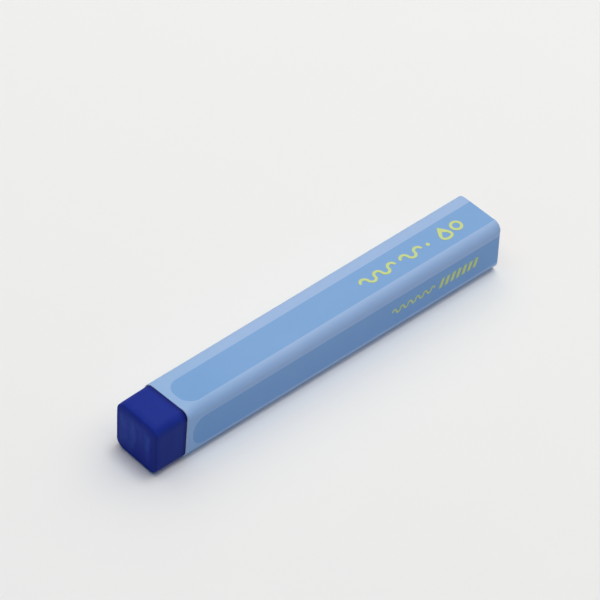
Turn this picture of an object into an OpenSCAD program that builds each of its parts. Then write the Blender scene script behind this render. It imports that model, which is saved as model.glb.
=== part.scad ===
// A square stick of watercolour pastel in a printed paper wrapper.
//
// The stick is cast in one piece, with rounded long edges and a small round where
// its sides meet its two ends. One sheet of paper is wound once round it and glued
// down on its own lap, and it leaves one end of the stick bare as the tip.
//
// The stick lies along X with its bare tip at -X. The lap is on the +Y face, and
// the printed underside rests on Z = 0.

/* [Stick] */
// Width and height of the stick's square section
stick_side = 9.7; // [8.8:0.1:14]
// Length of the stick from its bare tip to its wrapped end
stick_length = 74.2; // [60:0.1:120]
// Radius along the stick's four long edges
long_edge_r = 1.65; // [1:0.05:2.1]
// Radius where the sides meet the two ends
end_edge_r = 0.4; // [0.1:0.05:0.8]

/* [Wrapper] */
// Thickness of the paper
paper_t = 0.15; // [0.08:0.01:0.3]
// Air between the stick and the paper wound on it
wrap_gap = 0; // [0:0.01:0.1]
// Length of the stick left bare at the tip
tip_length = 6.25; // [3:0.1:15]
// How far the paper stands past the stick's wrapped end
end_overhang = 0.3; // [0:0.05:1]
// Width of the glued lap
lap_width = 4; // [2:0.1:5]
// Distance over which the paper climbs onto its own first edge
lap_ramp = 0.6; // [0.3:0.05:1]
// Distance from the lap's last edge to the rounded corner below it
lap_edge_inset = 0.15; // [0.05:0.05:0.6]

/* [Printed panels] */
// Thickness of one layer of printing ink
ink_t = 0.02; // [0.01:0.005:0.04]
// Width of the light border left round each long edge
border_width = 3.6; // [3:0.05:5]
// Depth of the light border behind the wrapper's front edge
front_border = 1.35; // [0.5:0.05:5]
// Bare edge where the print stops short of the wrapper's far end
back_border = 0.1; // [0.05:0.05:2]
// Corner radius at the front end of each panel
panel_corner_r = 2.45; // [0.5:0.05:2.6]
// How far round the stick the print lies from the middle of each face
print_shift = 0.35; // [-0.6:0.05:0.6]
// How much farther round the stick the print on the top face lies
top_shift = 0.4; // [-0.4:0.05:0.4]

/* [Printed marks] */
// Distance from the wrapper's far end to the end of both rows of marks
marks_margin = 4.6; // [2:0.1:8]
// Overall height of the wave in the top row
wave_height = 2; // [1.2:0.05:2.6]
// Width of the line that draws the top row
wave_line = 0.5; // [0.2:0.05:0.6]
// Bends in the top row's long wave
long_wave_bends = 5; // [1:1:7]
// Bends in the top row's short wave
short_wave_bends = 3; // [1:1:5]
// Diameter of the dot between the waves and the drop
dot_size = 0.7; // [0.4:0.05:1.2]
// Height of the drop beside the ring
drop_height = 3.3; // [2.4:0.1:4]
// Width of the drop
drop_width = 2.5; // [1.6:0.1:3]
// Outer diameter of the ring
ring_size = 2.3; // [1.5:0.1:3]
// Height of the fine wave in the side row
fine_wave_height = 1.15; // [0.8:0.05:1.6]
// Width of the line that draws the fine wave
fine_wave_line = 0.3; // [0.15:0.05:0.35]
// Bends in the fine wave
fine_wave_bends = 11; // [1:1:15]
// Lean of the strokes in the side row, in degrees
stroke_lean = 18; // [0:1:30]
// Strokes in the side row
stroke_count = 7; // [1:1:9]
// Distance from one stroke to the next
stroke_pitch = 1.25; // [1:0.05:1.6]
// Width of each stroke
stroke_width = 0.7; // [0.3:0.05:0.8]
// Height of each stroke
stroke_height = 1.75; // [1:0.05:3]
// How far the side row lies above the middle of its panel
side_row_rise = 0.1; // [0:0.05:0.8]
// How far the waves lie below the middle of the top panel, and the drop and ring above it
top_row_step = 0.15; // [0:0.05:0.3]
// Gap between one mark and the next in a row
mark_gap = 0.8; // [0.4:0.05:1.2]
// Gap between the dot and the drop
drop_gap = 2.2; // [1:0.1:3]

/* [Hidden] */

stick_colour = [0.13, 0.18, 0.55];
paper_colour = [0.62, 0.73, 0.87];
panel_colour = [0.50, 0.66, 0.84];
mark_colour = [0.80, 0.85, 0.45];

// The section: the stick's flats, and the paper's inner and outer outlines.
flat = stick_side - 2 * long_edge_r;
sheet_inner = stick_side + 2 * wrap_gap;
sheet_inner_r = long_edge_r + wrap_gap;
sheet_outer = sheet_inner + 2 * paper_t;
sheet_outer_r = sheet_inner_r + paper_t;

// The lap: heights of the sheet's last edge, of its first edge under the lap,
// and of the line where the paper starts to climb onto that first edge.
lap_last_edge = lap_edge_inset - flat / 2;
lap_first_edge = lap_last_edge + lap_width;
ramp_foot = lap_first_edge + lap_ramp;

// The length: the tip is at 0 until the whole part is centred.
wrapper_length = stick_length + end_overhang - tip_length;
part_length = stick_length + end_overhang;
axis_height = sheet_outer / 2 + ink_t;

// The print: one panel to each quarter of the way round. Ink is drawn down to
// the middle of the paper, so that the two are one solid.
ink_root = paper_t / 2;
quarter_turn = flat + 90 * PI / 180 * sheet_outer_r;
panel_width = quarter_turn - border_width;
panel_start = tip_length + front_border;
marks_end = part_length - marks_margin;
panel_layers = 1;
mark_layers = 2;

// The top row's marks, each placed by its end at +X.
ring_end = marks_end;
drop_end = ring_end - ring_size - mark_gap / 2;
dot_end = drop_end - drop_width - drop_gap;
short_wave_end = dot_end - dot_size - mark_gap;
short_wave_length = wave_length(short_wave_bends, wave_height, wave_line);
long_wave_end = short_wave_end - short_wave_length - mark_gap;

// The side row's marks.
stroke_run = stroke_height * tan(stroke_lean);
strokes_length = (stroke_count - 1) * stroke_pitch + stroke_width + stroke_run;
fine_wave_end = marks_end - strokes_length - mark_gap;

// Segments in a full circle.
round_fn = 64;

// The drop's curve: the points on it, how thin it runs towards its point, and
// half its width before it is scaled.
drop_points = 32;
drop_fullness = 1.5;
drop_half_width = 0.70;

// The space inside the drawn drop, in widths of its line: how far its middle lies
// below the drop's middle, and how much shorter it is than the drop.
drop_space_sink = 0.75;
drop_space_cut = 3.5;

// Overall length of a wave of half rings drawn with a line.
function wave_length(bends, height, line) = bends * (height - line) + line;

// A solid drawn as its section in Y and Z, run along X.
module along_x(from, length) {
    translate([from, 0, 0]) rotate([90, 0, 90]) linear_extrude(height = length) children();
}

// A square with rounded corners, centred.
module rounded_square(side, r) {
    square([side, side - 2 * r], center = true);
    square([side - 2 * r, side], center = true);
    for (y = [-1, 1], z = [-1, 1])
        translate([y * (side / 2 - r), z * (side / 2 - r)]) circle(r, $fn = round_fn);
}

// Half of a bar's lengthwise section, from its axis out to a round at each end.
module half_profile(reach, length, r) {
    translate([0, r]) square([reach, length - 2 * r]);
    square([reach - r, length]);
    for (end = [r, length - r]) translate([reach - r, end]) circle(r, $fn = round_fn);
}

// A slab as deep as the stick and as wide as its flat, with its four end edges rounded.
module rounded_slab() {
    rotate([90, 0, 0]) linear_extrude(height = flat, center = true)
        for (side = [0, 1]) mirror([0, side, 0])
            rotate(-90) mirror([1, 0, 0]) half_profile(stick_side / 2, stick_length, end_edge_r);
}

// One long corner: a quarter of a round bar that is rounded at its ends.
module rounded_corner() {
    translate([0, flat / 2, flat / 2]) rotate([90, 0, 90])
        rotate_extrude(angle = 90, $fn = round_fn)
            half_profile(long_edge_r, stick_length, end_edge_r);
}

module stick_body() {
    for (turn = [0, 90]) rotate([turn, 0, 0]) rounded_slab();
    for (turn = [0 : 90 : 270]) rotate([turn, 0, 0]) rounded_corner();
}

// The outside of the wound sheet, grown by layers of ink, with its lap as a step.
module sheet_outline(growth) {
    outer = sheet_outer / 2 + growth;
    rounded_square(2 * outer, sheet_outer_r + growth);
    polygon([
        [sheet_inner / 2, ramp_foot],
        [outer, ramp_foot],
        [outer + paper_t, lap_first_edge],
        [outer + paper_t, lap_last_edge],
        [sheet_inner / 2, lap_last_edge]
    ]);
}

// The space inside the sheet, with the notch left beside its first edge.
module sheet_hollow() {
    rounded_square(sheet_inner, sheet_inner_r);
    polygon([
        [0, ramp_foot],
        [sheet_inner / 2, ramp_foot],
        [sheet_inner / 2 + paper_t, lap_first_edge],
        [0, lap_first_edge]
    ]);
}

module wound_sheet() {
    along_x(tip_length, wrapper_length) difference() {
        sheet_outline(0);
        sheet_hollow();
    }
}

// Layers of ink all over the sheet, to be cut to the printed shapes.
module ink_coat(layers) {
    along_x(tip_length, wrapper_length - back_border) difference() {
        sheet_outline(layers * ink_t);
        sheet_outline(-ink_root);
    }
}

// Prints a flat shape on one face: 0 is the top, 1 the -Y side, 2 the underside,
// and 3 the lap side.
module print_on(face, layers) {
    intersection() {
        ink_coat(layers);
        rotate([90 * face, 0, 0]) linear_extrude(height = sheet_outer)
            translate([0, face == 0 ? -print_shift - top_shift : -print_shift]) children();
    }
}

// A panel that runs off the wrapper's far end, with its two front corners rounded.
module panel() {
    r = panel_corner_r;
    back = part_length + front_border;
    translate([panel_start + r, -panel_width / 2])
        square([back - panel_start - r, panel_width]);
    translate([panel_start, r - panel_width / 2]) square([r, panel_width - 2 * r]);
    for (side = [-1, 1])
        translate([panel_start + r, side * (panel_width / 2 - r)]) circle(r, $fn = round_fn);
}

// A wave of half rings, bending up and down by turns, that ends at x = 0.
module wave(bends, height, line) {
    r = (height - line) / 2;
    for (i = [0 : bends - 1])
        translate([-line / 2 - r - 2 * r * i, 0]) mirror([0, i % 2, 0])
            intersection() {
                difference() {
                    circle(r + line / 2, $fn = round_fn);
                    circle(r - line / 2, $fn = round_fn);
                }
                translate([-height, 0]) square([2 * height, height]);
            }
}

// A stroke that leans towards +X, and ends at x = 0.
module leaning_stroke() {
    polygon([
        [-stroke_width - stroke_run, -stroke_height / 2],
        [-stroke_run, -stroke_height / 2],
        [0, stroke_height / 2],
        [-stroke_width, stroke_height / 2]
    ]);
}

module dot(size) {
    translate([-size / 2, 0]) circle(size / 2, $fn = round_fn);
}

module ring(size, line) {
    difference() {
        dot(size);
        translate([-line, 0]) dot(size - 2 * line);
    }
}

// A filled drop of water with its point up, centred.
module full_drop(width, height) {
    polygon([
        for (i = [0 : drop_points - 1])
            let (a = 360 * i / drop_points)
            [
                width / 2 * sin(a) * pow(sin(a / 2), drop_fullness) / drop_half_width,
                height / 2 * cos(a)
            ]
    ]);
}

// A drop drawn with a line, which is thickest at the point. It ends at x = 0.
module drop(width, height, line) {
    translate([-width / 2, 0]) difference() {
        full_drop(width, height);
        translate([0, -drop_space_sink * line])
            full_drop(width - 2 * line, height - drop_space_cut * line);
    }
}

module top_marks() {
    translate([0, -top_row_step]) {
        translate([long_wave_end, 0]) wave(long_wave_bends, wave_height, wave_line);
        translate([short_wave_end, 0]) wave(short_wave_bends, wave_height, wave_line);
        translate([dot_end, 0]) dot(dot_size);
    }
    translate([0, top_row_step]) {
        translate([drop_end, 0]) drop(drop_width, drop_height, wave_line);
        translate([ring_end, 0]) ring(ring_size, wave_line);
    }
}

module side_marks() {
    translate([fine_wave_end, side_row_rise])
        wave(fine_wave_bends, fine_wave_height, fine_wave_line);
    for (i = [0 : stroke_count - 1])
        translate([marks_end - i * stroke_pitch, side_row_rise])
            leaning_stroke();
}

// Moves the part from its own axis and tip to its place on the ground.
module placed() {
    translate([-part_length / 2, 0, axis_height]) children();
}

module pastel_stick() {
    color(stick_colour) placed() stick_body();
}

module paper_wrapper() {
    placed() {
        color(paper_colour) wound_sheet();
        color(panel_colour) for (face = [0 : 3]) print_on(face, panel_layers) panel();
        color(mark_colour) print_on(0, mark_layers) top_marks();
        color(mark_colour) print_on(1, mark_layers) side_marks();
    }
}

pastel_stick();
paper_wrapper();
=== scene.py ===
# %% [markdown]
# # A square pastel stick in a paper wrapper
#
# The real thing has two pieces. A stick of blue pastel is cast in a square mould, and a printed sheet of
# paper is wound once round it and glued down on its own edge. One end stays bare, and that is the end
# that draws.
#
# The packed model gives the sizes and the place of both pieces. This lesson builds them again with finer
# surfaces: the stick with the small dents of a cast and handled stick, and the wrapper as a thin sheet
# that is really wound. It ends with the printed marks, which are thin layers of ink on the paper.

# %% Load the frame
import math

import bmesh
import bpy
from mathutils import Matrix, Vector, noise


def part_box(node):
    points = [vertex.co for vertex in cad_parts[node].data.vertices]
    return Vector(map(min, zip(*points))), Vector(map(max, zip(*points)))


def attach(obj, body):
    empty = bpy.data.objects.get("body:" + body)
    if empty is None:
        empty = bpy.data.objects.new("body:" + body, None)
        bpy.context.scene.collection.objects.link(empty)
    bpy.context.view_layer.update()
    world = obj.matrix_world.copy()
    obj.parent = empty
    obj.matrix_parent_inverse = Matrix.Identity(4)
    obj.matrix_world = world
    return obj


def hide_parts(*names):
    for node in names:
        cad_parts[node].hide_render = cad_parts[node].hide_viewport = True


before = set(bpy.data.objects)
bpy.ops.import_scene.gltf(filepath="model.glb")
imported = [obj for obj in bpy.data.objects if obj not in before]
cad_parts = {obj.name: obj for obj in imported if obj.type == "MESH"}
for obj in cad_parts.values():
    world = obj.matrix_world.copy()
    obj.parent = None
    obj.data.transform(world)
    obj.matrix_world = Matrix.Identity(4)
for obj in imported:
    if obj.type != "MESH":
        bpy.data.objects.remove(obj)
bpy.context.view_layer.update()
stick_low, stick_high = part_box("pastel_stick")
wrapper_low, wrapper_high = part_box("paper_wrapper")
print("nodes:", sorted(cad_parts))

# %% [markdown]
# ## Sizes
#
# Everything is in metres, because the frame is. A few sizes can't be read from the boxes of the two
# nodes, such as the paper's thickness, so they are named here, in millimetres that are turned into metres
# once. The rest follows from the boxes: the stick's axis runs through the middle of its own box, and the
# bare tip is what is left of the stick in front of the wrapper.

# %% Sizes
MM = 0.001

paper_t = 0.15 * MM
stick_corner_r = 1.65 * MM
stick_end_r = 0.4 * MM

stick_side = stick_high.y - stick_low.y
axis_z = (stick_low.z + stick_high.z) / 2
tip_x = stick_low.x
front_x = wrapper_low.x
end_x = wrapper_high.x
flat = stick_side - 2 * stick_corner_r
sheet_outer = stick_side + 2 * paper_t
print("stick", round(stick_side / MM, 2), "mm square, bare tip", round((front_x - tip_x) / MM, 2), "mm")

# %% [markdown]
# ## Camera
#
# The camera stands well back with a long lens, so the stick's long edges stay almost parallel. It looks
# down at about 43 degrees, past the bare tip, along the stick. A turn of a few degrees about its own line
# of sight tilts the whole picture a little, as a hand-held camera does. The view transform is Standard,
# so that a colour under plain light renders about as it is written.

# %% Camera
camera_azimuth = math.radians(-46.11)
camera_elevation = math.radians(42.89)
camera_roll = math.radians(4.13)
camera_distance = 1274.6 * MM
camera_target = Vector((4.18, 6.54, 5.02)) * MM

to_camera = Vector((
    math.sin(camera_azimuth) * math.cos(camera_elevation),
    -math.cos(camera_azimuth) * math.cos(camera_elevation),
    math.sin(camera_elevation),
))
level_right = Vector((math.cos(camera_azimuth), math.sin(camera_azimuth), 0))
right = Matrix.Rotation(camera_roll, 3, to_camera) @ level_right
up = to_camera.cross(right)

camera = bpy.data.objects.new("camera", bpy.data.cameras.new("camera"))
camera.data.sensor_width = 36
camera.data.lens = 480
camera.data.clip_start = 0.05
camera.data.clip_end = 20
camera.matrix_world = Matrix.Translation(camera_target + to_camera * camera_distance) @ Matrix(
    (right, up, to_camera)
).transposed().to_4x4()
bpy.context.scene.collection.objects.link(camera)
bpy.context.scene.camera = camera
bpy.context.scene.view_settings.view_transform = "Standard"
print("camera at", [round(v, 3) for v in camera.location])

# %% [markdown]
# ## A small language for materials
#
# A material is a graph of nodes, and long graphs are hard to read in code. So one class stands for an
# output socket and takes Python's operators: `1 - mask` adds a Math node and gives its output. A second
# class owns the material and adds any other node, from its type, its settings and the values or sockets
# that go into it.

# %% Shader maths
class Wire:
    """An output socket. The operators on it add Math nodes."""

    def __init__(self, paint, socket):
        self.paint = paint
        self.socket = socket

    def __getitem__(self, name):
        return Wire(self.paint, self.socket.node.outputs[name])

    def __add__(self, other):
        return self.paint.maths("ADD", self, other)

    def __sub__(self, other):
        return self.paint.maths("SUBTRACT", self, other)

    def __rsub__(self, other):
        return self.paint.maths("SUBTRACT", other, self)

    def __mul__(self, other):
        return self.paint.maths("MULTIPLY", self, other)

    def __pow__(self, other):
        return self.paint.maths("POWER", self, other)

    def __neg__(self):
        return self.paint.maths("MULTIPLY", self, -1)

    def __abs__(self):
        return self.paint.maths("ABSOLUTE", self)

    __radd__ = __add__
    __rmul__ = __mul__


print("reflected operators:", [name for name in vars(Wire) if name.startswith("__r")])


# %% Paint
class Paint:
    """A material or a world, and the nodes that are added to it."""

    def __init__(self, owner):
        owner.use_nodes = True
        self.owner = owner
        self.tree = owner.node_tree
        self.tree.nodes.clear()

    def node(self, kind, settings=None, *values, **named):
        made = self.tree.nodes.new("ShaderNode" + kind)
        for key, value in (settings or {}).items():
            setattr(made, key, value)
        open_sockets = [socket for socket in made.inputs if socket.enabled]
        pairs = list(zip(open_sockets, values))
        pairs += [(made.inputs[name.replace("_", " ")], value) for name, value in named.items()]
        for socket, value in pairs:
            if isinstance(value, Wire):
                self.tree.links.new(value.socket, socket)
            else:
                socket.default_value = value
        return Wire(self, next((s for s in made.outputs if s.enabled), None))

    def maths(self, operation, *values):
        return self.node("Math", {"operation": operation}, *values)

    def larger(self, a, b):
        return self.maths("MAXIMUM", a, b)

    def smaller(self, a, b):
        return self.maths("MINIMUM", a, b)

    def length(self, a, b):
        return (a * a + b * b) ** 0.5

    def rise(self, value, low, high):
        """0 below low, 1 above high, and a smooth rise between them."""
        return self.node("MapRange", {"interpolation_type": "SMOOTHSTEP"}, value, low, high)

    def mix(self, share, a, b, blend="MIX"):
        return self.node("Mix", {"data_type": "RGBA", "blend_type": blend}, share, a, b)

    def millimetres(self):
        """The place on the piece, in millimetres, as a vector."""
        place = self.node("TexCoord")["Object"]
        return self.node("VectorMath", {"operation": "SCALE"}, place, Scale=1 / MM)

    def noise(self, place, size, detail=2.0, roughness=0.5):
        """Noise from 0 to 1 whose blotches are about size millimetres across."""
        return self.node("TexNoise", None, place, Scale=1 / size, Detail=detail, Roughness=roughness)

    def bumped(self, height):
        """A normal from a height in millimetres."""
        return self.node("Bump", None, Strength=1.0, Distance=MM, Height=height)

    def finish(self, **sockets):
        shader = self.node("BsdfPrincipled", None, **sockets)
        self.node("OutputMaterial", None, shader)
        return self.owner


print("paint makes:", [name for name in vars(Paint) if not name.startswith("_")])

# %% [markdown]
# ## Light
#
# The stick lies in the soft light of a room. Two wide suns stand for the lamps: a ceiling light almost
# overhead, and a bright, warmer window high up beyond the wrapped end. The sky stands for the room's own
# light, and is bluer. The top gets all three, the near side mostly the sky and what the table throws
# back, so it is about half as bright. Both lamps stand a little beyond the wrapped end, so the shadow is
# darkest right before the tip, and elsewhere it is wide and faint.
#
# Rays that go from the camera past the table see a plain pale backdrop instead of the sky's own level.

# %% Light
sky_level = 0.31
sky_colour = (0.26, 0.50, 1.0, 1)
backdrop_colour = (0.85, 0.855, 0.84, 1)

world = bpy.data.worlds.new("room")
bpy.context.scene.world = world
room = Paint(world)
path = room.node("LightPath")
seen = room.larger(path["Is Camera Ray"], room.larger(path["Is Glossy Ray"], path["Is Transmission Ray"]))
even = room.node("Background", None, sky_colour, sky_level)
backdrop = room.node("Background", None, backdrop_colour, 1.0)
room.node("OutputWorld", None, room.node("MixShader", None, seen, even, backdrop))


def add_sun(name, level, colour, width, direction):
    """A sun that is width degrees wide and gives a white matt sheet facing it the brightness level."""
    sun = bpy.data.objects.new(name, bpy.data.lights.new(name, "SUN"))
    sun.data.energy = math.pi * level
    sun.data.color = colour
    sun.data.angle = math.radians(width)
    sun.rotation_mode = "QUATERNION"
    sun.rotation_quaternion = Vector(direction).to_track_quat("Z", "Y")
    bpy.context.scene.collection.objects.link(sun)


add_sun("ceiling", level=0.31, colour=(0.82, 0.90, 1.0), width=22, direction=(0.16, 0, 1))
add_sun("window", level=0.71, colour=(1.0, 0.84, 0.57), width=100, direction=(0.35, 0.15, 0.92))

# %% [markdown] ## The table The table is one large flat square, pale and matt. Its colour is painted a little greyer
# before the tip and paler beyond the far end, in a slow change along the stick: a painted falloff of the
# light. It has faint blotches.

# %% Table
table_half = 6.0
paler_along_x = 0.88
paler_along_y = 0.48
grey_until = -90
pale_from = 110

table_shape = bmesh.new()
bmesh.ops.create_grid(table_shape, x_segments=1, y_segments=1, size=table_half)
table_mesh = bpy.data.meshes.new("table")
table_shape.to_mesh(table_mesh)
table_shape.free()
table = bpy.data.objects.new("table", table_mesh)
bpy.context.scene.collection.objects.link(table)

paint = Paint(bpy.data.materials.new("pale_table"))
place = paint.millimetres()
xyz = paint.node("SeparateXYZ", None, place)
# Painted light: the floor's colour grows paler beyond the far end and greyer before the tip, standing in
# for the falloff of the lamps' light.
along = xyz["X"] * paler_along_x + xyz["Y"] * paler_along_y
painted_light_falloff = paint.node("MapRange", None, along, grey_until, pale_from)
blotch = paint.noise(place, size=18, detail=3)
tone = paint.mix(painted_light_falloff, (0.800, 0.806, 0.800, 1), (0.898, 0.902, 0.876, 1))
tone = paint.mix(blotch * 0.5, tone, (0.865, 0.868, 0.855, 1))
table_mesh.materials.append(paint.finish(Base_Color=tone, Roughness=0.9, Specular_IOR_Level=0.2))
print("table", 2 * table_half, "m square")

# %% [markdown]
# ## Tools for the meshes
#
# Every piece here starts as a bmesh and ends as an object at the origin, smooth except at its sharp
# edges. The stick and the sheet are both square bars with rounded long edges: a cube, scaled, with its
# four long edges bevelled. Both are then cut into a fine grid, so that their faces have points that can
# be moved.
#
# Two numbers settle what counts as equal: points closer than same_place lie in one place, and a face
# looks along an axis if its normal's share along that axis is over facing.

# %% Mesh helpers
same_place = 1e-7
facing = 0.9
sharp_angle = math.radians(40)


def mark_sharp(shape):
    for edge in shape.edges:
        edge.smooth = len(edge.link_faces) == 2 and edge.calc_face_angle(0) < sharp_angle


def new_piece(name, shape, materials):
    """Makes an object from a bmesh and puts it in the scene, smooth except at its sharp edges."""
    for face in shape.faces:
        face.smooth = True
    mark_sharp(shape)
    mesh = bpy.data.meshes.new(name)
    shape.to_mesh(mesh)
    shape.free()
    piece = bpy.data.objects.new(name, mesh)
    bpy.context.scene.collection.objects.link(piece)
    for material in materials:
        mesh.materials.append(material)
    print(name, len(mesh.polygons), "faces")
    return piece


def steps(low, high, count):
    """The places that cut a length into equal steps, without its two ends."""
    return [low + (high - low) * i / count for i in range(1, count)]


def cut_across(shape, axis, places, choose=lambda face: True):
    """Cuts the chosen faces with planes square to an axis, 0 for X, 1 for Y, 2 for Z."""
    normal = Vector((axis == 0, axis == 1, axis == 2))
    for at in places:
        faces = [face for face in shape.faces if choose(face)]
        edges = {edge for face in faces for edge in face.edges}
        points = {vert for face in faces for vert in face.verts}
        cut = [*points, *edges, *faces]
        bmesh.ops.bisect_plane(shape, geom=cut, plane_co=normal * at, plane_no=normal, dist=same_place)


def square_bar(low, high, corner_r, corner_segments):
    """A closed square bar between two corners, with its edges along X rounded."""
    bar = bmesh.new()
    bmesh.ops.create_cube(bar, size=1)
    bmesh.ops.scale(bar, vec=high - low, verts=bar.verts)
    bmesh.ops.translate(bar, vec=(low + high) / 2, verts=bar.verts)
    long_edges = [e for e in bar.edges if abs(e.verts[0].co.x - e.verts[1].co.x) > (high - low).x / 2]
    bmesh.ops.bevel(
        bar, geom=long_edges, offset=corner_r, offset_type="OFFSET", segments=corner_segments,
        profile=0.5, affect="EDGES", material=-1,
    )
    return bar


def near(distance, reach):
    """1 at a place, and falling softly to 0 at its reach."""
    return max(0, 1 - distance / reach) ** 2


def move_points(shape, move):
    """Moves every point of a shape by what a function says of it while all are still where they were."""
    shape.normal_update()
    moves = [move(vert) for vert in shape.verts]
    for vert, way in zip(shape.verts, moves):
        vert.co += way
    return max(way.length for way in moves)


print("sharp edges from", round(math.degrees(sharp_angle)), "degrees")

# %% [markdown]
# ## The pastel stick
#
# A cast stick is a square bar with rounded long edges and small rounds at its ends. The long edges are
# bevelled first and the two loops round its ends after them. It is cut across only on the bare tip,
# because the paper hides the rest.

# %% Stick
grid = 0.3 * MM

stick = square_bar(stick_low, stick_high, stick_corner_r, corner_segments=12)
for x in (stick_low.x, stick_high.x):
    end_loop = [e for e in stick.edges if all(abs(v.co.x - x) < same_place for v in e.verts)]
    bmesh.ops.bevel(
        stick, geom=end_loop, offset=stick_end_r, offset_type="OFFSET",
        segments=5, profile=0.5, affect="EDGES", material=-1,
    )
cut_across(stick, 0, steps(tip_x + stick_end_r, front_x, round((front_x - tip_x) / grid)))
flat_cuts = steps(-flat / 2, flat / 2, round(flat / grid))
cut_across(stick, 1, flat_cuts)
cut_across(stick, 2, [axis_z + z for z in flat_cuts])
print("stick cut into", len(stick.faces), "faces")

# %% [markdown]
# A used stick isn't quite square or flat. It has shallow dents from handling. The corners and the ridge
# over the end face are rubbed, the ridge has a small nick, and the far top edge is worn down more and
# more towards the end. The end face itself leans a little: its near top corner stands furthest out and
# its far bottom corner furthest back. All of this is moved vertices and no bump map, so that the outline
# shows it too. Wear only takes pastel away, so it moves a point against its normal.

# %% Wear on the stick
dent_depth = 0.030 * MM
dent_size = 3.2 * MM
ripple_depth = 0.010 * MM
ripple_size = 0.9 * MM
dent_fade = 1.0 * MM
ridge_depth = 0.20 * MM
ridge_reach = 1.5 * MM
back_edge_depth = 0.36 * MM
back_edge_reach = 2.2 * MM
end_slant = 0.2 * MM
nick = Vector((tip_x, -0.7 * MM, stick_high.z))
nick_depth = 0.13 * MM
nick_reach = 0.9 * MM
rub_depth = 0.14 * MM
rub_reach = 1.6 * MM
worn_corners = [
    (Vector((tip_x, stick_low.y, stick_high.z)), 1.0),
    (Vector((tip_x, stick_low.y, stick_low.z)), 0.8),
    (Vector((tip_x, stick_high.y, stick_high.z)), 0.3),
]


def worn_depth(co, towards_end):
    """How deep the wear goes at a point of the stick."""
    from_ridge = math.hypot(co.x - tip_x, co.z - stick_high.z)
    from_back_edge = math.hypot(co.y - stick_high.y, co.z - stick_high.z)
    depth = near(from_ridge, ridge_reach) * ridge_depth
    depth += near((co - nick).length, nick_reach) * nick_depth
    depth += near(from_back_edge, back_edge_reach) * back_edge_depth * towards_end
    for corner, share in worn_corners:
        depth += near((co - corner).length, rub_reach) * rub_depth * share
    return depth


def stick_move(vert):
    co = vert.co
    bare = min(max((front_x - co.x) / dent_fade, 0), 1)
    open_end = 1 if co.x > stick_high.x - stick_end_r else 0
    towards_end = max(0, (front_x - co.x) / (front_x - tip_x))
    dent = noise.noise(co / dent_size) * dent_depth + noise.noise(co / ripple_size) * ripple_depth
    outwards = min(dent, 0) - worn_depth(co, towards_end)
    slant = (co.y - co.z + axis_z) / stick_high.y * end_slant * towards_end
    return vert.normal * outwards * max(bare, open_end) + Vector((slant, 0, 0))


most = move_points(stick, stick_move)
print("stick moved by up to", round(most / MM, 2), "mm")

# %% [markdown]
# ## The finish of the pastel
#
# Blue pastel of this kind is a dense, almost black blue that only looks bright where light falls straight
# on it. It is a little waxy: its open faces are slightly smoother than its edges, and a fine grain of
# pigment breaks the light. The colour goes between a deep and a lighter blue in soft clouds. Pale dust
# clings in streaks, mostly to the end face. The near side is a duller blue, which reaches a little round
# onto the end face. Right beside the wrapper the bare pastel is painted darker: painted shade from the
# paper's edge.
#
# The masks come from distances to the stick's own faces, in millimetres. The end face leans, so the
# distance to it is measured from the leaning face. Of the distances to the end, the nearer side and the
# nearer of top and bottom, the smallest is nothing on the surface, so the middle one is the distance to
# the nearest edge.

# %% Pastel distances
end_face_depth = 0.2
round_the_edge = 0.7

paint = Paint(bpy.data.materials.new("blue_pastel"))
place = paint.millimetres()
xyz = paint.node("SeparateXYZ", None, place)
half_side = stick_side / 2 / MM
slanted = (xyz["Y"] - xyz["Z"] + axis_z / MM) * (end_slant / stick_high.y)
from_end = xyz["X"] - tip_x / MM - slanted
end_face = paint.maths("LESS_THAN", from_end, end_face_depth)
from_near = half_side + xyz["Y"] - round_the_edge * end_face
from_side = paint.smaller(from_near, half_side - xyz["Y"])
from_top = half_side - abs(xyz["Z"] - axis_z / MM)
from_edge = paint.larger(
    paint.smaller(from_end, from_side), paint.smaller(paint.larger(from_end, from_side), from_top)
)
to_wrapper = front_x / MM - xyz["X"]
print("half a side is", round(half_side, 2), "mm")

# %% Pastel material
deep_blue = (0.006, 0.020, 0.225, 1)
light_blue = (0.010, 0.028, 0.265, 1)
dust_blue = (0.020, 0.062, 0.355, 1)
speck_blue = (0.004, 0.010, 0.120, 1)
dull_blue = (0.012, 0.027, 0.185, 1)
# The darkest blue is painted shade, for the bare pastel right beside the wrapper's edge.
painted_shade_blue = (0.002, 0.008, 0.110, 1)
upright_stretch = (1, 1, 0.4)

cloud = paint.noise(place, size=2.6, detail=3)
stretched = paint.node("VectorMath", {"operation": "MULTIPLY"}, place, upright_stretch)
patch = paint.noise(stretched, size=2.4, detail=2, roughness=0.45)
grain = paint.noise(place, size=0.12, detail=3, roughness=0.6)
speck = paint.rise(paint.noise(place, size=0.22, detail=2), low=0.66, high=0.76)

inner = paint.rise(from_edge + (patch - 0.5) * 0.8, low=0.5, high=1.5)
off_rims = 0.2 + 0.8 * paint.rise(from_top, low=0.8, high=3.2)
dust = inner * paint.rise(patch, low=0.35, high=0.70) * (0.25 + end_face * 0.65) * off_rims
near_side = 1 - paint.rise(from_near, low=0.1, high=0.5)
bare_pastel = paint.rise(to_wrapper, low=-0.6, high=-0.3)
# Painted shade: the bare pastel within about a millimetre of the wrapper is darkened, as if the paper's
# edge shaded it.
painted_wrapper_shade = (1 - paint.rise(to_wrapper, low=0.1, high=1.1)) * bare_pastel

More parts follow.
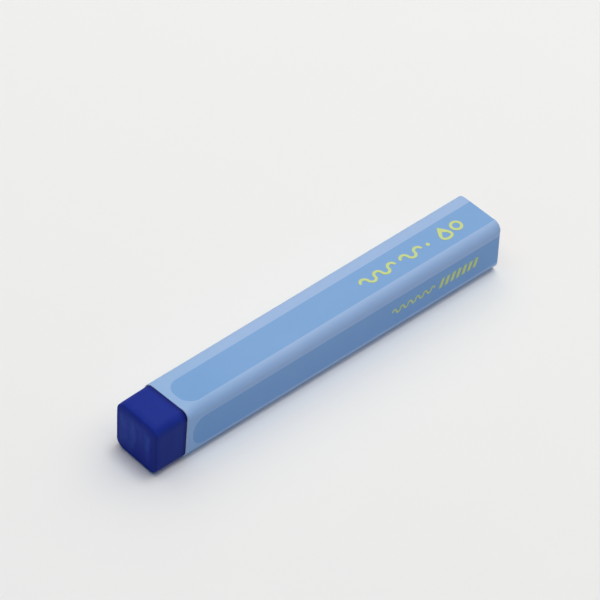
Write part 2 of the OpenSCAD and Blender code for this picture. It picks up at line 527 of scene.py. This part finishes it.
blue = paint.mix(cloud, deep_blue, light_blue)
blue = paint.mix(dust, blue, dust_blue)
blue = paint.mix(speck * 0.35, blue, speck_blue)
blue = paint.mix(near_side * 0.55, blue, dull_blue)
blue = paint.mix(painted_wrapper_shade * 0.55, blue, painted_shade_blue)
pastel_material = paint.finish(
    Base_Color=blue,
    Roughness=0.66 - inner * 0.08 + grain * 0.10,
    Normal=paint.bumped(grain * 0.010 + cloud * 0.020 - speck * 0.012),
    Specular_IOR_Level=0.10,
)
pastel = new_piece("pastel", stick, [pastel_material])
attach(pastel, "root")
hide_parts("pastel_stick")

# %% [markdown]
# ## The wrapper
#
# The wrapper is one sheet, and it is made the way it is wound. A square tube stands for the sheet's inner
# face. It is slit along its first edge, on the side away from the camera, and the slit's upper lip is
# lifted by one thickness of paper. From there the sheet is drawn on over itself for the width of the lap.
# The tube is then cut into a grid so that the paper can lift a little at its front edge.

# %% Sheet
lap_width = 4.0 * MM
lap_ramp = 0.6 * MM
lap_edge_inset = 0.15 * MM

lap_last_z = axis_z - flat / 2 + lap_edge_inset
lap_first_z = lap_last_z + lap_width
ramp_foot_z = lap_first_z + lap_ramp


def on_lap_side(face):
    return face.normal.y > facing


def at_slit(vert):
    return abs(vert.co.z - lap_first_z) < same_place and vert.co.y > 0


inner_low = Vector((front_x, stick_low.y, stick_low.z))
inner_high = Vector((end_x, stick_high.y, stick_high.z))
sheet = square_bar(inner_low, inner_high, stick_corner_r, corner_segments=10)
bmesh.ops.delete(sheet, geom=[f for f in sheet.faces if abs(f.normal.x) > facing], context="FACES_ONLY")
sheet.normal_update()
cut_across(sheet, 2, [lap_first_z, ramp_foot_z], on_lap_side)
bmesh.ops.split_edges(sheet, edges=[e for e in sheet.edges if all(at_slit(v) for v in e.verts)])
sheet.normal_update()
lap_side = [f for f in sheet.faces if on_lap_side(f)]
ramp = next(f for f in lap_side if lap_first_z < f.calc_center_median().z < ramp_foot_z)
lip = [v for v in ramp.verts if at_slit(v)]
bmesh.ops.translate(sheet, vec=(0, paper_t, 0), verts=lip)
lip_edge = next(e for e in ramp.edges if all(v in lip for v in e.verts))
drawn = bmesh.ops.extrude_edge_only(sheet, edges=[lip_edge])["geom"]
lap_end = [v for v in drawn if isinstance(v, bmesh.types.BMVert)]
bmesh.ops.translate(sheet, vec=(0, 0, -lap_width), verts=lap_end)
bmesh.ops.recalc_face_normals(sheet, faces=sheet.faces)
if max(sheet.faces, key=lambda f: f.calc_center_median().z).normal.z < 0:
    bmesh.ops.reverse_faces(sheet, faces=sheet.faces)
print("lap", round(lap_width / MM, 2), "mm, from", round(lap_first_z / MM, 2), "mm up")

# %% Cut the sheet
near_front = [front_x + s * MM for s in (0.2, 0.4, 0.7, 1.0, 1.4, 1.8, 2.4)]
near_end = [end_x - s * MM for s in (1.4, 0.8, 0.4, 0.2)]
steps_along = 36
steps_over_flat = 8

cut_across(sheet, 0, near_front + steps(near_front[-1], near_end[0], steps_along) + near_end)
cut_across(sheet, 1, steps(-flat / 2, flat / 2, steps_over_flat))
cut_across(sheet, 2, [axis_z + z for z in steps(-flat / 2, flat / 2, steps_over_flat)])
print("sheet cut into", len(sheet.faces), "faces")

# %% [markdown]
# The paper doesn't hug the stick everywhere. At its cut ends it stands off a little at the rounded
# corners, most of all at the near top one, and along its length it has the very slight waves of wound
# paper. The underside stays where it lies, so nothing there moves down. A corner lifts in full at its
# middle, which lies about 0.7 of its radius past the flat both ways.

# %% Shape the sheet
lift_reach = 1.8 * MM
near_corner_lift = 0.25 * MM
other_corner_lift = 0.015 * MM
corner_middle = stick_corner_r * 0.7
wave_depth = 0.018 * MM
wave_length = 7.0 * MM
waves_across = 2


def sheet_move(vert):
    x, y, z = vert.co.x, vert.co.y, vert.co.z - axis_z
    corner = min(1, max(0, abs(y) - flat / 2) * max(0, abs(z) - flat / 2) / corner_middle ** 2)
    at_cut = max(near(x - front_x, lift_reach), near(end_x - x, lift_reach))
    gape = near_corner_lift if y < 0 < z else other_corner_lift
    height = noise.noise(Vector((x, y * waves_across, z * waves_across)) / wave_length) + 0.5
    wave = 0 if z < -flat / 2 else height * wave_depth
    return vert.normal * (corner * gape * at_cut + wave)


most = move_points(sheet, sheet_move)
print("paper lifted by up to", round(most / MM, 2), "mm")

# %% [markdown]
# ## The printed paper
#
# The paper is white, printed light blue all over with a darker blue panel on each of its four faces. A
# panel has a round front end and runs off the far edge. Each is drawn from a distance: how far a point
# lies outside a rectangle with rounded corners. The four faces are the same drawing, turned, so a loop
# adds them up. Over the print, a few fibres show paler, and towards the tip the paper is a little darker
# and bluer, fading out over its first 22 mm.

# %% Panels
border_width = 3.6 * MM
front_border = 1.35 * MM
panel_corner_r = 2.45 * MM
print_shift = 0.35 * MM
top_shift = 0.4 * MM
print_edge = 0.03

panel_width = flat + math.pi / 2 * (stick_corner_r + paper_t) - border_width
panel_start = (front_x + front_border) / MM
corner_r = panel_corner_r / MM
half_width = panel_width / 2 / MM
outside = (sheet_outer / 2 - paper_t / 2) / MM

paint = Paint(bpy.data.materials.new("printed_paper"))
place = paint.millimetres()
xyz = paint.node("SeparateXYZ", None, place)
x, y = xyz["X"], xyz["Y"]
z = xyz["Z"] - axis_z / MM
wobble = (paint.noise(place, size=0.5, detail=2) - 0.5) * print_edge
in_front = panel_start + corner_r - x
panels = 0
for across, outward in ((y + top_shift / MM, z), (z, -y), (-y, -z), (-z, y)):
    sideways = abs(across + print_shift / MM) - (half_width - corner_r)
    round_part = paint.length(paint.larger(in_front, 0), paint.larger(sideways, 0))
    distance = round_part + paint.smaller(paint.larger(in_front, sideways), 0) - corner_r
    on_face = paint.maths("GREATER_THAN", outward, outside)
    panels = on_face * (1 - paint.rise(distance + wobble, -print_edge, print_edge)) + panels
print("panels", round(panel_width / MM, 2), "mm wide")

# %% Printed paper
fibre_size = 0.18
tint_length = 22
tip_end_tint = (0.87, 0.94, 0.97, 1)

cloud = paint.noise(place, size=4.0, detail=3)
fibre = paint.noise(place, fibre_size, detail=4, roughness=0.6)
border_blue = paint.mix(cloud, (0.305, 0.454, 0.704, 1), (0.327, 0.477, 0.726, 1))
panel_blue = paint.mix(cloud, (0.174, 0.347, 0.632, 1), (0.193, 0.370, 0.660, 1))
printed = paint.mix(panels, border_blue, panel_blue)
pale_fibre = paint.rise(fibre, low=0.55, high=0.80)
printed = paint.mix(pale_fibre * 0.10, printed, (0.55, 0.68, 0.86, 1))
# The paper is tinted darker and bluer towards the tip, fading out along the stick.
darker_towards_tip = 1 - paint.rise(x - front_x / MM, low=0, high=tint_length)
printed = paint.mix(darker_towards_tip, printed, tip_end_tint, blend="MULTIPLY")
printed_paper = paint.finish(
    Base_Color=printed,
    Roughness=0.58 + fibre * 0.08 - panels * 0.04,
    Normal=paint.bumped(fibre * 0.004 + cloud * 0.010),
    Specular_IOR_Level=0.35,
)
print("paper darkened over", tint_length, "mm")

# %% [markdown]
# Nothing is printed on the inside of the sheet or on its cut edges, so they have a material of their own:
# the bare, off-white paper.

# %% Bare paper
paint = Paint(bpy.data.materials.new("bare_paper"))
fibre = paint.noise(paint.millimetres(), fibre_size, detail=4, roughness=0.6)
bare_paper = paint.finish(
    Base_Color=paint.mix(fibre, (0.66, 0.70, 0.76, 1), (0.76, 0.79, 0.83, 1)),
    Roughness=0.8,
    Normal=paint.bumped(fibre * 0.006),
    Specular_IOR_Level=0.2,
)
print("materials:", printed_paper.name, "outside and", bare_paper.name, "inside")

# %% [markdown]
# ## From sheet to paper
#
# So far the sheet has no thickness. Solidify gives it one, outwards, because the sheet is the paper's
# inner face. It also puts the second material, bare paper, on the inside and on the rim. The modifier is
# applied at once, so that its sharp edges can be marked on the finished mesh.

# %% Wrapper piece
def apply_modifiers(piece):
    """Turns a piece and its modifiers into a plain mesh, and marks its sharp edges again."""
    graph = bpy.context.evaluated_depsgraph_get()
    made = bpy.data.meshes.new_from_object(piece.evaluated_get(graph))
    shape = bmesh.new()
    shape.from_mesh(made)
    mark_sharp(shape)
    shape.to_mesh(made)
    shape.free()
    piece.modifiers.clear()
    piece.data = made
    print(piece.name, len(made.polygons), "faces once solid")


wrapper = new_piece("wrapper", sheet, [printed_paper, bare_paper])
thickness = wrapper.modifiers.new("paper", "SOLIDIFY")
thickness.thickness = paper_t
thickness.offset = 1
thickness.material_offset = 1
thickness.material_offset_rim = 1
thickness.use_even_offset = True
bpy.context.view_layer.update()
apply_modifiers(wrapper)
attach(wrapper, "root")
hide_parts("paper_wrapper")

# %% [markdown]
# ## The printed marks
#
# The marks are yellow-green ink on the panels: waves, a dot, a drop of water and a ring on the top, and a
# fine wave with a row of strokes on the side. A wave is drawn as a pen would draw it: a short edge, the
# pen's nib, is spun half a turn about one centre after another, up and down by turns. The ring and the
# drop are two loops with the line bridged between them. Every mark ends where its function is told, along
# X, and the function gives back where the mark starts, so that the next one can be set beside it.
#
# A drop is a loop that narrows towards its point. That leaves it with only a part of its loop's width, so
# it is widened again by that share. The hole in it sits lower and is shorter than an even line would
# leave it, so that the line stays thick at the point. Both are measured in widths of the line.

# %% Drawing marks
drop_fullness = 1.5
drop_share = 0.70
hole_lower = 0.75
hole_shorter = 3.5


def draw_wave(shape, end, middle, bends, height, line):
    """A line of half rings."""
    r = (height - line) / 2
    start = end - line - 2 * r * bends
    nib = [shape.verts.new((start, middle, 0)), shape.verts.new((start + line, middle, 0))]
    geom = [*nib, shape.edges.new(nib)]
    for i in range(bends):
        turn = math.pi if i % 2 else -math.pi
        centre = (start + line / 2 + r + 2 * r * i, middle, 0)
        spun = bmesh.ops.spin(
            shape, geom=geom, cent=centre, axis=(0, 0, 1), angle=turn, steps=14, use_merge=False
        )
        geom = spun["geom_last"]
    return start


def draw_stroke(shape, end, middle, width, height, lean):
    """A straight stroke that leans by an angle."""
    made = bmesh.ops.create_grid(shape, x_segments=1, y_segments=1, size=0.5)["verts"]
    bmesh.ops.scale(shape, vec=(width, height, 1), verts=made)
    for vert in made:
        vert.co.x += vert.co.y * math.tan(lean)
    start = end - width - height * math.tan(lean)
    bmesh.ops.translate(shape, vec=((start + end) / 2, middle, 0), verts=made)
    return start


def draw_loop(shape, centre, width, height, is_drop=False, filled=False):
    """The edges of a round loop about a centre, or of a drop with its point up."""
    made = bmesh.ops.create_circle(shape, cap_ends=filled, segments=48, radius=1)["verts"]
    for vert in made:
        a = math.atan2(vert.co.x, vert.co.y) % math.tau
        narrow = math.sin(a / 2) ** drop_fullness / drop_share if is_drop else 1
        vert.co = Vector((width / 2 * math.sin(a) * narrow, height / 2 * math.cos(a), 0)) + centre
    return {edge for vert in made for edge in vert.link_edges}


def draw_dot(shape, end, middle, size):
    centre = Vector((end - size / 2, middle, 0))
    draw_loop(shape, centre, size, size, filled=True)
    return centre.x - size / 2


def draw_ring(shape, end, middle, size, line):
    centre = Vector((end - size / 2, middle, 0))
    outer = draw_loop(shape, centre, size, size)
    inner = draw_loop(shape, centre, size - 2 * line, size - 2 * line)
    bmesh.ops.bridge_loops(shape, edges=[*outer, *inner])
    return end - size


def draw_drop(shape, end, middle, width, height, line):
    centre = Vector((end - width / 2, middle, 0))
    hole_centre = centre - Vector((0, hole_lower * line, 0))
    hole_height = height - hole_shorter * line
    outer = draw_loop(shape, centre, width, height, is_drop=True)
    inner = draw_loop(shape, hole_centre, width - 2 * line, hole_height, is_drop=True)
    bmesh.ops.bridge_loops(shape, edges=[*outer, *inner])
    return end - width


print("marks:", [draw.__name__ for draw in (draw_wave, draw_stroke, draw_dot, draw_ring, draw_drop)])

# %% [markdown]
# Each flat drawing then gets the thickness of a layer of ink. It starts inside the paper, so that no gap
# can open under it, and ends two thicknesses of ink over the flat sheet, because the paper's waves take
# up about one of them.

# %% Ink
ink_t = 0.02 * MM

paint = Paint(bpy.data.materials.new("yellow_green_ink"))
patchy = paint.noise(paint.millimetres(), size=0.5, detail=3)
ink_material = paint.finish(
    Base_Color=paint.mix(patchy, (0.50, 0.61, 0.21, 1), (0.61, 0.71, 0.27, 1)),
    Roughness=0.55 + patchy * 0.1,
    Normal=paint.bumped(patchy * 0.004),
    Specular_IOR_Level=0.35,
)


def inked(shape, turns, shift):
    """Gives flat marks the thickness of ink and lays them on a face: 0 is the top, 1 the -Y side."""
    for face in shape.faces:
        face.normal_update()
        if face.normal.z < 0:
            face.normal_flip()
    root = sheet_outer / 2 - paper_t / 2
    surface = sheet_outer / 2 + 2 * ink_t
    made = bmesh.ops.extrude_face_region(shape, geom=shape.faces[:])["geom"]
    raised = [v for v in made if isinstance(v, bmesh.types.BMVert)]
    bmesh.ops.translate(shape, vec=(0, 0, surface - root), verts=raised)
    bmesh.ops.translate(shape, vec=(0, -shift, root), verts=shape.verts)
    quarter = Matrix.Rotation(turns * math.pi / 2, 3, "X")
    bmesh.ops.rotate(shape, cent=(0, 0, 0), matrix=quarter, verts=shape.verts)
    bmesh.ops.translate(shape, vec=(0, 0, axis_z), verts=shape.verts)
    bmesh.ops.recalc_face_normals(shape, faces=shape.faces)
    return shape


print("ink", round(ink_t / MM, 3), "mm thick")

# %% [markdown]
# ## The two rows
#
# Both rows are set from the far end towards the tip. On the top come a ring, a drop, a dot and two waves,
# and on the near side seven leaning strokes and a fine wave.

# %% Marks on the top
marks_end = end_x - 4.6 * MM
mark_gap = 0.8 * MM
wave_height = 2 * MM
wave_line = 0.5 * MM
short_wave_bends = 3
long_wave_bends = 5
dot_size = 0.7 * MM
drop_height = 3.3 * MM
drop_width = 2.5 * MM
drop_gap = 2.2 * MM
ring_size = 2.3 * MM
row_step = 0.15 * MM

top = bmesh.new()
at = draw_ring(top, marks_end, row_step, ring_size, wave_line)
at = draw_drop(top, at - mark_gap / 2, row_step, drop_width, drop_height, wave_line)
at = draw_dot(top, at - drop_gap, -row_step, dot_size)
at = draw_wave(top, at - mark_gap, -row_step, short_wave_bends, wave_height, wave_line)
at = draw_wave(top, at - mark_gap, -row_step, long_wave_bends, wave_height, wave_line)
print("top row", round((marks_end - at) / MM, 2), "mm long")
top_marks = new_piece("top_marks", inked(top, 0, print_shift + top_shift), [ink_material])

# %% Marks on the side
fine_wave_height = 1.15 * MM
fine_wave_line = 0.3 * MM
fine_wave_bends = 11
stroke_count = 7
stroke_lean = math.radians(18)
stroke_pitch = 1.25 * MM
stroke_width = 0.7 * MM
stroke_height = 1.75 * MM
side_row_rise = 0.1 * MM

side = bmesh.new()
for i in range(stroke_count):
    stroke_end = marks_end - i * stroke_pitch
    at = draw_stroke(side, stroke_end, side_row_rise, stroke_width, stroke_height, stroke_lean)
at = draw_wave(side, at - mark_gap, side_row_rise, fine_wave_bends, fine_wave_height, fine_wave_line)
print("side row", round((marks_end - at) / MM, 2), "mm long")
side_marks = new_piece("side_marks", inked(side, 1, print_shift), [ink_material])

for marks in (top_marks, side_marks):
    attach(marks, "root")

# %% [markdown]
# The visual model has to keep to the packed model's box, give or take a small share.
